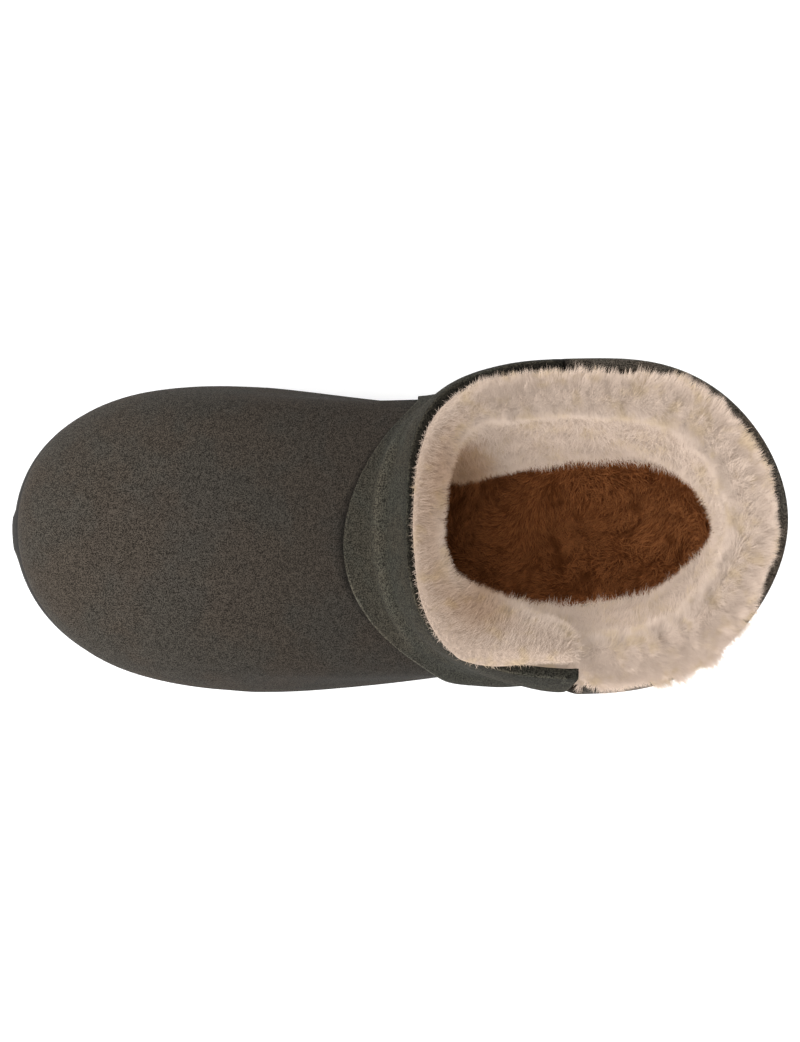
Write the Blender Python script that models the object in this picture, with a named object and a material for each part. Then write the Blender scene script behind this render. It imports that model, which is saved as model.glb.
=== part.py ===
"""Left bootie slipper: suede upper with a side slit, a wrap over the instep, a wool pile
lining, a wool insole and a foam outsole.

Metres, +Z up. The toe points to -X and the inner (big toe) side of the foot to +Y. The origin
is the middle of the bounding box, on the floor.

The upper, the wrap and the lining come from one surface. A point on it has two coordinates:
    lap    0 at the front edge of the side slit, then round the toe, past the seam on the inner
           side and round the heel, to 1 at the back edge of the slit
    level  0 at the sole, up to the last row of RINGS at the collar
"""

import math
from collections import namedtuple

import bmesh
import bpy
import numpy as np
from mathutils import Vector

# Sole
SOLE_LENGTH = 0.265
BALL_WIDTH = 0.108
HEEL_THICKNESS = 0.022
FOREFOOT_THICKNESS = 0.0125
TOE_SPRING = 0.008
ARCH_LIFT = 0.004
HEEL_BEVEL = 0.0015
GROOVE_WIDTH = 0.0045
GROOVE_DEPTH = 0.003
LUG_PITCH = 0.0155

# Upper
COLLAR_HEIGHT = 0.126
WALL = 0.002
HEM_THICKNESS = 0.0016
HEM_DEPTH = 0.008
SLIT_WIDTH = 0.008
SLIT_BOTTOM_LEVEL = 3.8
LAPEL_FLARE = 0.0045
LAPEL_DROP = 0.004

# Wool pile
COLLAR_PILE = 0.0118
FOOT_PILE = 0.0115
INSOLE_THICKNESS = 0.009
INSOLE_GAP = 0.0018
PILE_RISE = 0.0042
PILE_LUMP = 0.0009
LOCK_HEIGHT = 0.0022
LAPEL_OVERHANG = 0.002
# How far over the collar's edge the pile lies at the front, as a share of its thickness
RIM_SHARE = 0.35
PILE_SLIT = 0.0022

# Running clearance between neighbouring pieces
CLEARANCE = 0.0003

# Where the side slit and the inner seam stand, as turns round the collar from its front
SLIT_TURN = 277.0
SEAM_TURN = 78.0

# Columns of faces round the front and the back of the boot, and rows of faces between levels
FRONT_COLUMNS = 32
BACK_COLUMNS = 24
FOOT_ROWS = 7
OVERLAP_ROWS = 3
SHAFT_ROWS = 6
# The suede under the wrap stops this many rows short of the top of the overlap
UNDERLAP_ROWS = 1

# The sole's outline: along is a share of SOLE_LENGTH from the heel, across a share of
# BALL_WIDTH towards the inner side, and turn the angle at the collar that the place leads up to
Place = namedtuple("Place", "name along across turn")
OUTLINE = (
    Place("toe tip", 1.000, 0.007, 0.0),
    Place("toe inner corner", 0.9745, 0.224, 15.0),
    Place("toe inner side", 0.911, 0.372, 30.0),
    Place("ball inner", 0.723, 0.460, 50.0),
    Place("behind ball inner", 0.595, 0.432, 66.0),
    Place("waist inner", 0.436, 0.385, 84.0),
    Place("arch end inner", 0.255, 0.361, 108.0),
    Place("heel inner", 0.112, 0.329, 136.0),
    Place("heel inner corner", 0.029, 0.199, 160.0),
    Place("heel back", 0.000, 0.020, 180.0),
    Place("heel outer corner", 0.029, -0.185, 200.0),
    Place("heel outer", 0.112, -0.329, 224.0),
    Place("arch end outer", 0.255, -0.389, 250.0),
    Place("waist outer", 0.436, -0.472, 276.0),
    Place("behind ball outer", 0.595, -0.524, 294.0),
    Place("ball outer", 0.745, -0.521, 310.0),
    Place("toe outer side", 0.884, -0.437, 330.0),
    Place("toe outer corner", 0.9640, -0.274, 345.0),
)

# The upper's rings, from the sole to the collar. front and back are shares of SOLE_LENGTH from
# the heel, rises are shares of the height from the sole's top to the collar, breadth and heel
# scale the sole's outline at toe and heel, inner and outer are the sides of the oval as shares
# of BALL_WIDTH, oval is how far the ring has left the sole's outline for that oval, and square
# is the exponent of the oval's front
Ring = namedtuple(
    "Ring", "name front back front_rise back_rise breadth heel inner outer oval square"
)
RINGS = (
    Ring("feather", 0.9880, 0.0080, 0.000, 0.000, 0.957, 0.957, 0.44, -0.48, 0.00, 2.0),
    Ring("bulge", 0.9905, 0.0010, 0.115, 0.140, 1.012, 1.040, 0.44, -0.50, 0.00, 2.0),
    Ring("toe wall", 0.9830, -0.0010, 0.250, 0.260, 0.995, 1.090, 0.44, -0.51, 0.06, 2.0),
    Ring("toe top", 0.9370, 0.0020, 0.395, 0.365, 0.935, 1.130, 0.43, -0.51, 0.18, 2.0),
    Ring("vamp", 0.8200, 0.0070, 0.510, 0.465, 0.880, 1.180, 0.43, -0.50, 0.42, 2.0),
    Ring("vamp top", 0.6850, 0.0110, 0.610, 0.565, 0.850, 1.200, 0.44, -0.49, 0.68, 2.0),
    Ring("instep", 0.5500, 0.0130, 0.735, 0.685, 0.850, 1.200, 0.46, -0.48, 0.92, 2.1),
    Ring("ankle", 0.5020, 0.0110, 0.850, 0.800, 0.850, 1.200, 0.495, -0.482, 1.00, 2.6),
    Ring("shaft top", 0.4850, 0.0030, 0.950, 0.925, 0.850, 1.200, 0.520, -0.472, 1.00, 3.1),
    Ring("collar", 0.4730, 0.0035, 1.035, 1.020, 0.850, 1.200, 0.507, -0.449, 1.00, 3.3),
)
TOP_LEVEL = len(RINGS) - 1.0
OVAL_BACK_SQUARE = 1.98

# The wrap's lower edge: its level at each turn round the collar
Edge = namedtuple("Edge", "turn level")
WRAP_EDGE = (
    Edge(-97.0, 4.10),
    Edge(-84.0, 4.40),
    Edge(-66.0, 5.10),
    Edge(-48.0, 5.66),
    Edge(-24.0, 5.90),
    Edge(0.0, 6.02),
    Edge(20.0, 6.12),
    Edge(35.0, 6.00),
    Edge(50.0, 5.45),
    Edge(65.0, 4.60),
    Edge(78.0, 4.05),
)
OVERLAP_LEVELS = 0.75

# The sole's side, from the floor up: height is a share of the thickness, inset is in metres
SideStep = namedtuple("SideStep", "height inset")
SOLE_SIDE = (
    SideStep(0.00, 0.0034),
    SideStep(0.10, 0.0012),
    SideStep(0.36, 0.0006),
    SideStep(0.42, 0.0018),
    SideStep(0.50, 0.0018),
    SideStep(0.55, 0.0003),
    SideStep(0.90, 0.0000),
    SideStep(1.00, 0.0008),
)
# Rings that carry the sole's top and underside inwards, as shares of the way to the axis
SOLE_INNER_SHARES = (0.82, 0.50, 0.16)

# Stations along the sole, as shares of SOLE_LENGTH from the heel
TOE_BREAK = 0.78
ARCH_BACK, ARCH_FRONT = 0.34, 0.56
HEEL_GROOVES = (0.065, 0.31)
FOREFOOT_GROOVES = (0.585, 0.93)


def smooth_step(low, high, value):
    """0 below low, 1 above high, and an S-curve between."""
    share = np.clip((np.asarray(value, float) - low) / (high - low), 0.0, 1.0)
    return share * share * (3.0 - 2.0 * share)


def mix(first, second, share):
    return first + (second - first) * share


class Spline:
    """A cubic spline through rows of values. With a period it closes on its first row."""

    def __init__(self, knots, rows, period=None):
        knots, rows = np.asarray(knots, float), np.asarray(rows, float)
        if period is not None:
            knots = np.append(knots, knots[0] + period)
            rows = np.vstack([rows, rows[:1]])
        self.knots, self.rows, self.period = knots, rows, period
        self.bends = self.solve()

    def solve(self):
        """The second derivative at each knot."""
        count = len(self.knots)
        steps = np.diff(self.knots)
        slopes = np.diff(self.rows, axis=0) / steps[:, None]
        matrix, right = np.eye(count), np.zeros_like(self.rows)
        for i in range(1, count - 1):
            matrix[i, i - 1 : i + 2] = steps[i - 1], 2 * (steps[i - 1] + steps[i]), steps[i]
            right[i] = 6 * (slopes[i] - slopes[i - 1])
        if self.period is not None:
            matrix[0, 0], matrix[0, 1] = 2 * (steps[0] + steps[-1]), steps[0]
            matrix[0, -2] = steps[-1]
            right[0] = 6 * (slopes[0] - slopes[-1])
            matrix[-1, 0], matrix[-1, -1] = -1.0, 1.0
        return np.linalg.solve(matrix, right)

    def __call__(self, at):
        at = np.asarray(at, float)
        if self.period is not None:
            at = self.knots[0] + np.mod(at - self.knots[0], self.period)
        span = np.clip(np.searchsorted(self.knots, at, side="right") - 1, 0, len(self.knots) - 2)
        step = (self.knots[span + 1] - self.knots[span])[..., None]
        after = (at - self.knots[span])[..., None] / step
        before = 1.0 - after
        bend = (before**3 - before) * self.bends[span] + (after**3 - after) * self.bends[span + 1]
        return before * self.rows[span] + after * self.rows[span + 1] + bend * step**2 / 6.0


def outline_spline():
    """The sole's outline as a closed spline of (along, across, turn less its even share)."""
    points = np.array([(p.along * SOLE_LENGTH, p.across * BALL_WIDTH) for p in OUTLINE])
    sides = np.linalg.norm(np.roll(points, -1, axis=0) - points, axis=1)
    length = sides.sum()
    knots = np.concatenate([[0.0], np.cumsum(sides)[:-1]])
    turns = np.array([p.turn for p in OUTLINE]) - 360.0 * knots / length
    return Spline(knots, np.column_stack([points, turns]), length), length


OUTLINE_CURVE, OUTLINE_LENGTH = outline_spline()


def outline_at(place):
    """(along, across, turn) on the sole's outline, at a distance round it from the toe tip."""
    values = OUTLINE_CURVE(place)
    turn = values[..., 2] + 360.0 * np.mod(place, OUTLINE_LENGTH) / OUTLINE_LENGTH
    return values[..., 0], values[..., 1], turn


def place_of_turn(turn):
    """The distance round the outline that leads up to a turn at the collar."""
    places = np.linspace(0.0, OUTLINE_LENGTH, 721)[:-1]
    return float(np.interp(turn, outline_at(places)[2], places))


SLIT_PLACE = place_of_turn(SLIT_TURN)
SEAM_PLACE = place_of_turn(SEAM_TURN)
SEAM_LAP = (SEAM_PLACE + OUTLINE_LENGTH - SLIT_PLACE) / OUTLINE_LENGTH
HEEL_LAP = (place_of_turn(180.0) + OUTLINE_LENGTH - SLIT_PLACE) / OUTLINE_LENGTH


def underside(along):
    """Height of the sole's underside, at a share of its length from the heel."""
    along = np.clip(along, 0.0, 1.0)
    toe = TOE_SPRING * np.clip((along - TOE_BREAK) / (1.0 - TOE_BREAK), 0.0, 1.0) ** 2
    middle, half = (ARCH_BACK + ARCH_FRONT) / 2, (ARCH_FRONT - ARCH_BACK) / 2
    arch = ARCH_LIFT * (1.0 - smooth_step(0.35, 1.0, np.abs(along - middle) / half))
    heel = HEEL_BEVEL * (1.0 - smooth_step(0.0, 0.035, along))
    return toe + arch + heel


def sole_top(along):
    """Height of the sole's top face."""
    along = np.clip(along, 0.0, 1.0)
    toe = TOE_SPRING * np.clip((along - TOE_BREAK) / (1.0 - TOE_BREAK), 0.0, 1.0) ** 2
    return toe + mix(HEEL_THICKNESS, FOREFOOT_THICKNESS, smooth_step(0.20, 0.66, along))


def oval(turn, ring):
    """(share from the ring's front, across) on a ring's oval, which is squarer at its front."""
    angle = np.radians(turn)
    front = (1.0 + np.cos(angle)) / 2.0
    square = mix(OVAL_BACK_SQUARE, ring.square, front)
    half_width = (ring.inner - ring.outer) / 2.0 * BALL_WIDTH
    half_length = (ring.front - ring.back) / 2.0 * SOLE_LENGTH
    reach = (np.abs(np.cos(angle)) / half_length) ** square
    reach = (reach + (np.abs(np.sin(angle)) / half_width) ** square) ** (-1.0 / square)
    middle = (ring.inner + ring.outer) / 2.0 * BALL_WIDTH
    return 0.5 - reach * np.cos(angle) / (2.0 * half_length), middle + reach * np.sin(angle)


def ring_points(ring, place):
    """Points of one ring, at distances round the sole's outline."""
    along, across, turn = outline_at(place)
    oval_back, oval_across = oval(turn, ring)
    back = mix(1.0 - along / SOLE_LENGTH, oval_back, ring.oval)
    breadth = mix(ring.breadth, ring.heel, smooth_step(0.4, 0.9, 1.0 - along / SOLE_LENGTH))
    side = mix(across * breadth, oval_across, ring.oval)
    station = mix(ring.front, ring.back, back)
    rise = mix(ring.front_rise, ring.back_rise, np.clip(back, 0.0, 1.0))
    height = sole_top(station) + rise * (COLLAR_HEIGHT - HEEL_THICKNESS)
    return np.stack([-station * SOLE_LENGTH, side, height], axis=-1)


def lapel(lap):
    """How far a place belongs to the lapel behind the slit, from 0 to 1."""
    return smooth_step(HEEL_LAP + 0.01, 1.0, lap) ** 0.8 * (np.asarray(lap) > HEEL_LAP)


def lap_back(lap, level, slit):
    """The place round the outline, with the back edge of the slit drawn back by its width."""
    start = smooth_step(SLIT_BOTTOM_LEVEL, SLIT_BOTTOM_LEVEL + 0.6, level)
    gap = slit * mix(start, smooth_step(SLIT_BOTTOM_LEVEL, TOP_LEVEL, level), 0.7)
    near_slit = np.clip((lap - SEAM_LAP) / (1.0 - SEAM_LAP), 0.0, 1.0) ** 2
    return SLIT_PLACE + lap * OUTLINE_LENGTH - gap * near_slit


def surface(lap, level, slit):
    """Points on the suede's outer face, with the lapel still closed."""
    lap, level = np.broadcast_arrays(np.asarray(lap, float), np.asarray(level, float))
    place = lap_back(lap, level, slit)
    rings = np.stack([ring_points(ring, place) for ring in RINGS])
    columns = rings.reshape(len(RINGS), -1)
    curve = Spline(np.arange(len(RINGS)), columns)
    flat_level = level.ravel()
    every = curve(flat_level).reshape(len(flat_level), len(flat_level), 3)
    points = every[np.arange(len(flat_level)), np.arange(len(flat_level))]
    return points.reshape(lap.shape + (3,))


def opened(lap, level):
    """How the lapel behind the slit is pushed out and down."""
    share = lapel(lap) * smooth_step(SLIT_BOTTOM_LEVEL + 0.8, TOP_LEVEL, level)
    return share[..., None] * np.array([0.0, -LAPEL_FLARE, -LAPEL_DROP])


def outward(lap, level, slit):
    """Unit normals of the suede's outer face, pointing out of the boot."""
    small_lap, small_level = 0.002, 0.02
    low, high = np.clip(level - small_level, 0, TOP_LEVEL), np.clip(level + small_level, 0, TOP_LEVEL)
    left, right = np.clip(lap - small_lap, 0, 1), np.clip(lap + small_lap, 0, 1)
    round_boot = surface(right, level, slit) - surface(left, level, slit)
    up_boot = surface(lap, high, slit) - surface(lap, low, slit)
    normal = np.cross(up_boot, round_boot)
    return normal / np.linalg.norm(normal, axis=-1, keepdims=True)


def wrap_edge_level(lap):
    """Level of the wrap's lower edge, carried on evenly round the back of the boot."""
    turn = outline_at(SLIT_PLACE + np.asarray(lap) * OUTLINE_LENGTH)[2]
    signed = np.where(turn > 180.0, turn - 360.0, turn)
    edge = Spline([e.turn for e in WRAP_EDGE], [[e.level] for e in WRAP_EDGE])
    level = edge(np.clip(signed, WRAP_EDGE[0].turn, WRAP_EDGE[-1].turn))[..., 0]
    return level


def grid():
    """Laps and levels of the shared grid: columns of a common lap, rows of like levels."""
    front = np.linspace(0.0, SEAM_LAP, FRONT_COLUMNS + 1)
    back = np.linspace(SEAM_LAP, 1.0, BACK_COLUMNS + 1)[1:]
    laps = np.concatenate([front, back])
    edge = wrap_edge_level(laps)
    throat = edge + OVERLAP_LEVELS
    foot_shares = np.linspace(0.0, 1.0, FOOT_ROWS + 1)
    overlap_shares = np.linspace(0.0, 1.0, OVERLAP_ROWS + 1)[1:]
    shaft_shares = np.linspace(0.0, 1.0, SHAFT_ROWS + 1)[1:]
    shaft_shares[-2] = 0.90
    levels = np.concatenate(
        [
            edge[:, None] * foot_shares,
            edge[:, None] + OVERLAP_LEVELS * overlap_shares,
            throat[:, None] + (TOP_LEVEL - throat)[:, None] * shaft_shares,
        ],
        axis=1,
    )
    return laps, levels


def offset_grid(offsets, slit):
    """Grid points moved out of the suede's outer face by offsets. The lowest row stays on the
    sole's top face, and the slit's edges stay on their own upright."""
    laps, levels = grid()
    lap = np.broadcast_to(laps[:, None], levels.shape)
    points = surface(lap, levels, slit) + outward(lap, levels, slit) * np.asarray(offsets)[..., None]
    points[:, 0, 2] = sole_top(-points[:, 0, 0] / SOLE_LENGTH) + CLEARANCE
    return points + opened(lap, levels)


def relaxed(points, turns=4):
    """The grid's points drawn towards their neighbours, but for its edges and lowest rows."""
    points = points.copy()
    for _ in range(turns):
        inside = points[1:-1, 4:-1]
        around = points[:-2, 4:-1] + points[2:, 4:-1] + points[1:-1, 3:-2] + points[1:-1, 5:]
        points[1:-1, 4:-1] = mix(inside, around / 4.0, 0.5)
    return points


def hem(levels):
    """Extra thickness of the collar's turned edge, from 0 up to HEM_THICKNESS."""
    ring_gap = RINGS[-1].front_rise - RINGS[-2].front_rise
    depth = HEM_DEPTH / (ring_gap * (COLLAR_HEIGHT - HEEL_THICKNESS))
    return HEM_THICKNESS * smooth_step(TOP_LEVEL - depth, TOP_LEVEL - depth / 2, levels)


def slit_row(levels):
    """The row of the grid at which the slit begins."""
    return int(np.searchsorted(levels[0], SLIT_BOTTOM_LEVEL))


def shell(name, outer, inner, cells, joined_rows):
    """A closed wall between two grids of points. cells lists the (column, row) faces that
    exist, and rows up to joined_rows of the last column are those of the first. Every wall
    splits its faces along the same diagonal, so that neighbours lie evenly apart."""
    columns, rows = outer.shape[:2]

    def key(column, row):
        return (0, row) if column == columns - 1 and row <= joined_rows else (column, row)

    used = sorted({key(c + i, r + j) for c, r in cells for i in (0, 1) for j in (0, 1)})
    number = {k: n for n, k in enumerate(used)}
    mesh = bmesh.new()
    outer_verts = [mesh.verts.new(outer[k]) for k in used]
    inner_verts = [mesh.verts.new(inner[k]) for k in used]
    edges = set()
    for c, r in cells:
        corners = (c, r), (c + 1, r), (c + 1, r + 1), (c, r + 1)
        loop = [number[key(*corner)] for corner in corners]
        for a, b, d in (loop[:3], [loop[0], loop[2], loop[3]]):
            mesh.faces.new([outer_verts[a], outer_verts[b], outer_verts[d]])
            mesh.faces.new([inner_verts[d], inner_verts[b], inner_verts[a]])
        edges.update(zip(loop, loop[1:] + loop[:1]))
    for a, b in sorted(edges):
        if (b, a) not in edges:
            mesh.faces.new([outer_verts[b], outer_verts[a], inner_verts[a], inner_verts[b]])
    return add_object(name, mesh)


def add_object(name, mesh):
    """Makes an object of a bmesh, with its faces pointing out."""
    bmesh.ops.recalc_face_normals(mesh, faces=mesh.faces)
    if mesh.calc_volume(signed=True) < 0:
        bmesh.ops.reverse_faces(mesh, faces=mesh.faces)
    data = bpy.data.meshes.new(name)
    mesh.to_mesh(data)
    mesh.free()
    data.shade_smooth()
    data.set_sharp_from_angle(angle=math.radians(50))
    made = bpy.data.objects.new(name, data)
    bpy.context.scene.collection.objects.link(made)
    return made


def suede_material(name, colour):
    return material(name, colour, 0.95)


def material(name, colour, roughness):
    made = bpy.data.materials.new(name)
    made.use_nodes = True
    shader = made.node_tree.nodes["Principled BSDF"]
    shader.inputs["Base Color"].default_value = (*colour, 1.0)
    shader.inputs["Roughness"].default_value = roughness
    return made


def make_upper():
    """Vamp, quarters and back of the shaft in one wall, open below, at the collar and at the slit."""
    laps, levels = grid()
    columns, rows = levels.shape
    throat_row = FOOT_ROWS + OVERLAP_ROWS - UNDERLAP_ROWS
    cells = [
        (c, r)
        for c in range(columns - 1)
        for r in range(rows - 1)
        if r < throat_row or c >= FRONT_COLUMNS
    ]
    outer = offset_grid(np.zeros(levels.shape), SLIT_WIDTH)
    inner = offset_grid(-WALL - hem(levels), SLIT_WIDTH)
    return shell("upper", outer, inner, cells, slit_row(levels))


def make_front_wrap():
    """Wrap over the instep: it lies on the vamp along its lower edge and stands up as the
    front of the shaft, from the inner seam round to the slit."""
    laps, levels = grid()
    rows = slice(FOOT_ROWS, None)
    lifted = np.ones(levels.shape[1])
    lifted[FOOT_ROWS + OVERLAP_ROWS + 1 :] = 0.0
    lift = (CLEARANCE + WALL) * lifted
    outer = offset_grid(np.broadcast_to(lift, levels.shape), SLIT_WIDTH)
    inner = offset_grid(lift - WALL - hem(levels), SLIT_WIDTH)
    for points in (outer, inner):
        seam = points[FRONT_COLUMNS]
        forward = points[FRONT_COLUMNS - 1] - seam
        seam += forward / np.linalg.norm(forward, axis=-1, keepdims=True) * CLEARANCE
    kept = slice(0, FRONT_COLUMNS + 1)
    outer, inner = outer[kept, rows], inner[kept, rows]
    cells = [(c, r) for c in range(FRONT_COLUMNS) for r in range(outer.shape[1] - 1)]
    return shell("front_wrap", outer, inner, cells, -1)


def make_fleece_lining():
    """The wool pile inside the suede, standing over the collar in locks."""
    laps, levels = grid()
    column = np.arange(levels.shape[0])[:, None]
    row = np.arange(levels.shape[1])[None, :]
    backing = WALL + hem(levels) + CLEARANCE
    pile = mix(FOOT_PILE, COLLAR_PILE, smooth_step(3.0, TOP_LEVEL - 1.0, levels))
    lump = PILE_LUMP * np.sin(2.1 * column) * np.sin(1.9 * row + 0.7 * column) * (row > 1)
    outer = offset_grid(-backing, PILE_SLIT)
    inner = relaxed(offset_grid(-backing - pile + lump, PILE_SLIT))
    suede_rim = offset_grid(np.zeros(levels.shape), PILE_SLIT)[:, -1]
    crest_outer, crest_inner = pile_crest(laps, suede_rim, outer[:, -1], inner[:, -1])
    outer = np.concatenate([outer, crest_outer], axis=1)
    inner = np.concatenate([inner, crest_inner], axis=1)
    cells = [(c, r) for c in range(outer.shape[0] - 1) for r in range(outer.shape[1] - 1)]
    return shell("fleece_lining", outer, inner, cells, slit_row(levels))


def pile_crest(laps, suede_rim, outer_rim, inner_rim):
    """Three more rows on each side of the pile, which carry it over the collar's edge in locks."""
    across_rim = suede_rim - outer_rim
    out = across_rim * (1.0, 1.0, 0.0)
    out /= np.linalg.norm(out, axis=1, keepdims=True)
    up = np.array([0.0, 0.0, 1.0])
    number = np.arange(len(laps))
    lock = LOCK_HEIGHT * (np.where(number % 2, 1.0, 0.15) + 0.35 * np.sin(2.7 * number))
    lock = np.clip(lock, 0.0, None)[:, None]
    on_lapel = lapel(laps)[:, None]
    neck = outer_rim + up * 3 * CLEARANCE
    low = neck + across_rim * mix(RIM_SHARE, 1.0, on_lapel) + out * LAPEL_OVERHANG * on_lapel
    high = low + up * (PILE_RISE * 0.7 + lock) - out * 0.3 * PILE_RISE
    inner_rows = [mix(inner_rim, outer_rim, share) for share in (0.02, 0.08, 0.32)]
    rises = (0.25 * PILE_RISE, 0.6 * PILE_RISE, PILE_RISE + 0.6 * lock)
    crest_inner = [row + up * rise for row, rise in zip(inner_rows, rises)]
    return np.stack([neck, low, high], axis=1), np.stack(crest_inner, axis=1)


def make_insole():
    """Wool insole inside the lining, on the sole's top face."""
    feather = RINGS[0]
    foot_inset = max((1.0 - feather.breadth) * BALL_WIDTH / 2, (1.0 - feather.front) * SOLE_LENGTH)
    rim = sole_ring(even_places(), foot_inset + WALL + CLEARANCE + FOOT_PILE + INSOLE_GAP)
    upper_rows = ((1.0, 0.0), (1.0, 0.62), (0.965, 0.93), (0.80, 1.0), (0.45, 1.0), (0.12, 1.0))
    lower_rows = ((0.12, 0.0), (0.45, 0.0))
    return tube("insole", [insole_ring(rim, *row) for row in lower_rows + upper_rows])


def insole_ring(rim, share, height):
    """The insole's rim drawn in to a share of itself, at a share of its thickness."""
    flat = drawn_in(rim, share)
    rise = CLEARANCE + height * INSOLE_THICKNESS
    return np.column_stack([flat, sole_top(-flat[:, 0] / SOLE_LENGTH) + rise])


def even_places():
    """Places at even distances round the outline, from the toe tip."""
    count = FRONT_COLUMNS + BACK_COLUMNS
    return np.linspace(0.0, OUTLINE_LENGTH, count, endpoint=False)


def drawn_in(rim, share):
    """A flat ring drawn in towards the sole's long axis, and less so at toe and heel."""
    middle = rim.mean(axis=0)
    return np.column_stack(
        [mix(middle[0], rim[:, 0], 1.0 - (1.0 - share) * 0.35), mix(middle[1], rim[:, 1], share)]
    )


def tube(name, rings):
    """A closed body through rings of points. Each end is filled by strips across it, from a
    point on one side to its partner on the other."""
    mesh = bmesh.new()
    loops = [[mesh.verts.new(point) for point in ring] for ring in rings]
    for low, high in zip(loops, loops[1:]):
        for a in range(len(low)):
            b = (a + 1) % len(low)
            mesh.faces.new([low[a], low[b], high[b], high[a]])
    for loop in (loops[0], loops[-1]):
        count = len(loop)
        for a in range(count // 2):
            strip = [loop[a], loop[a + 1], loop[count - 1 - a], loop[(count - a) % count]]
            mesh.faces.new(list(dict.fromkeys(strip)))
    return add_object(name, mesh)


def sole_ring(places, inset):
    """Points on the sole's outline, moved in by inset: (x, y) only."""
    small = 0.001
    along, across, _ = outline_at(places)
    ahead_along, ahead_across, _ = outline_at(places + small)
    back_along, back_across, _ = outline_at(places - small)
    step = np.stack([-(ahead_along - back_along), ahead_across - back_across], axis=1)
    step /= np.linalg.norm(step, axis=1, keepdims=True)
    inwards = np.stack([step[:, 1], -step[:, 0]], axis=1)
    return np.stack([-along, across], axis=1) + inwards * inset


def make_outsole():
    """Foam outsole with a stepped side, toe spring, raised arch and cut tread lugs."""
    places = even_places()
    rings = []
    for step in SOLE_SIDE:
        flat = sole_ring(places, step.inset)
        along = -flat[:, 0] / SOLE_LENGTH
        height = mix(underside(along), sole_top(along), step.height)
        rings.append(np.column_stack([flat, height]))
    bottom, top = [], []
    for share in SOLE_INNER_SHARES:
        for rim, rows, height_of in ((rings[0], bottom, underside), (rings[-1], top, sole_top)):
            flat = drawn_in(rim[:, :2], share)
            rows.append(np.column_stack([flat, height_of(-flat[:, 0] / SOLE_LENGTH)]))
    made = tube("outsole", bottom[::-1] + rings + top)
    cutter = make_tread_cutter()
    cut = made.modifiers.new("tread", "BOOLEAN")
    cut.operation = "DIFFERENCE"
    cut.object = cutter
    return made


def make_tread_cutter():
    """Bars that cut the grooves between the lugs, bowed towards the toe and following the
    underside. The cutter itself isn't a part."""
    mesh = bmesh.new()
    reach = BALL_WIDTH * 0.62
    for first, last in (HEEL_GROOVES, FOREFOOT_GROOVES):
        count = max(2, round((last - first) * SOLE_LENGTH / LUG_PITCH))
        for station in np.linspace(first, last, count):
            add_groove(mesh, station, reach)
    data = bpy.data.meshes.new("tread_cutter")
    bmesh.ops.recalc_face_normals(mesh, faces=mesh.faces)
    mesh.to_mesh(data)
    mesh.free()
    cutter = bpy.data.objects.new("tread_cutter", data)
    bpy.context.scene.collection.objects.link(cutter)
    cutter.hide_render = True
    cutter.display_type = "WIRE"
    return cutter


def add_groove(mesh, station, reach):
    """One groove's bar: a chevron of two straight arms across the sole."""
    arms = (-reach, 0.0, reach)
    bow = LUG_PITCH * 0.55
    sections = []
    for across in arms:
        middle = -station * SOLE_LENGTH - bow * (1.0 - abs(across) / reach)
        top = underside(-middle / SOLE_LENGTH) + GROOVE_DEPTH
        section = []
        for side, height in ((-1, -0.002), (1, -0.002), (1, top), (-1, top)):
            section.append(mesh.verts.new((middle + side * GROOVE_WIDTH / 2, across, height)))
        sections.append(section)
    for near, far in zip(sections, sections[1:]):
        for a in range(4):
            b = (a + 1) % 4
            mesh.faces.new([near[a], near[b], far[b], far[a]])
    mesh.faces.new(sections[0])
    mesh.faces.new(sections[-1])


def stand_on_origin(parts):
    """Hangs every part on one empty, placed so that the boot's box stands on the origin."""
    graph = bpy.context.evaluated_depsgraph_get()
    corners = [Vector(c) for part in parts for c in part.evaluated_get(graph).bound_box]
    low = Vector([min(c[axis] for c in corners) for axis in range(3)])
    high = Vector([max(c[axis] for c in corners) for axis in range(3)])
    boot = bpy.data.objects.new("bootie", None)
    bpy.context.scene.collection.objects.link(boot)
    boot.location = (-(low.x + high.x) / 2, -(low.y + high.y) / 2, -low.z)
    for part in parts:
        part.parent = boot
    for helper in bpy.data.objects:
        if helper.display_type == "WIRE":
            helper.parent = boot


def main():
    for old in list(bpy.data.objects):
        bpy.data.objects.remove(old)
    dark_suede = suede_material("dark_suede", (0.058, 0.050, 0.040))
    wrap_suede = suede_material("wrap_suede", (0.060, 0.056, 0.043))
    cream_pile = material("cream_pile", (0.62, 0.48, 0.38), 1.0)
    brown_pile = material("brown_pile", (0.20, 0.085, 0.035), 1.0)
    foam = material("dark_foam", (0.022, 0.020, 0.018), 0.75)
    finishes = (
        (make_outsole(), foam),
        (make_insole(), brown_pile),
        (make_fleece_lining(), cream_pile),
        (make_upper(), dark_suede),
        (make_front_wrap(), wrap_suede),
    )
    for part, finish in finishes:
        part.data.materials.append(finish)
    stand_on_origin([part for part, _ in finishes])


main()
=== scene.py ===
"""Looks of the bootie slipper: suede, wool pile, foam sole, studio and camera.

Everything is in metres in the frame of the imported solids: the toe points to -X, the inner side
of the foot to +Y, and the boot stands on Z = 0.
"""

import logging
import math
from dataclasses import dataclass
from enum import Enum
from typing import Any, Optional, Sequence, Union

import bmesh
import bpy
import numpy as np
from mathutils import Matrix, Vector
from mathutils.bvhtree import BVHTree
from mathutils.noise import noise


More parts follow.
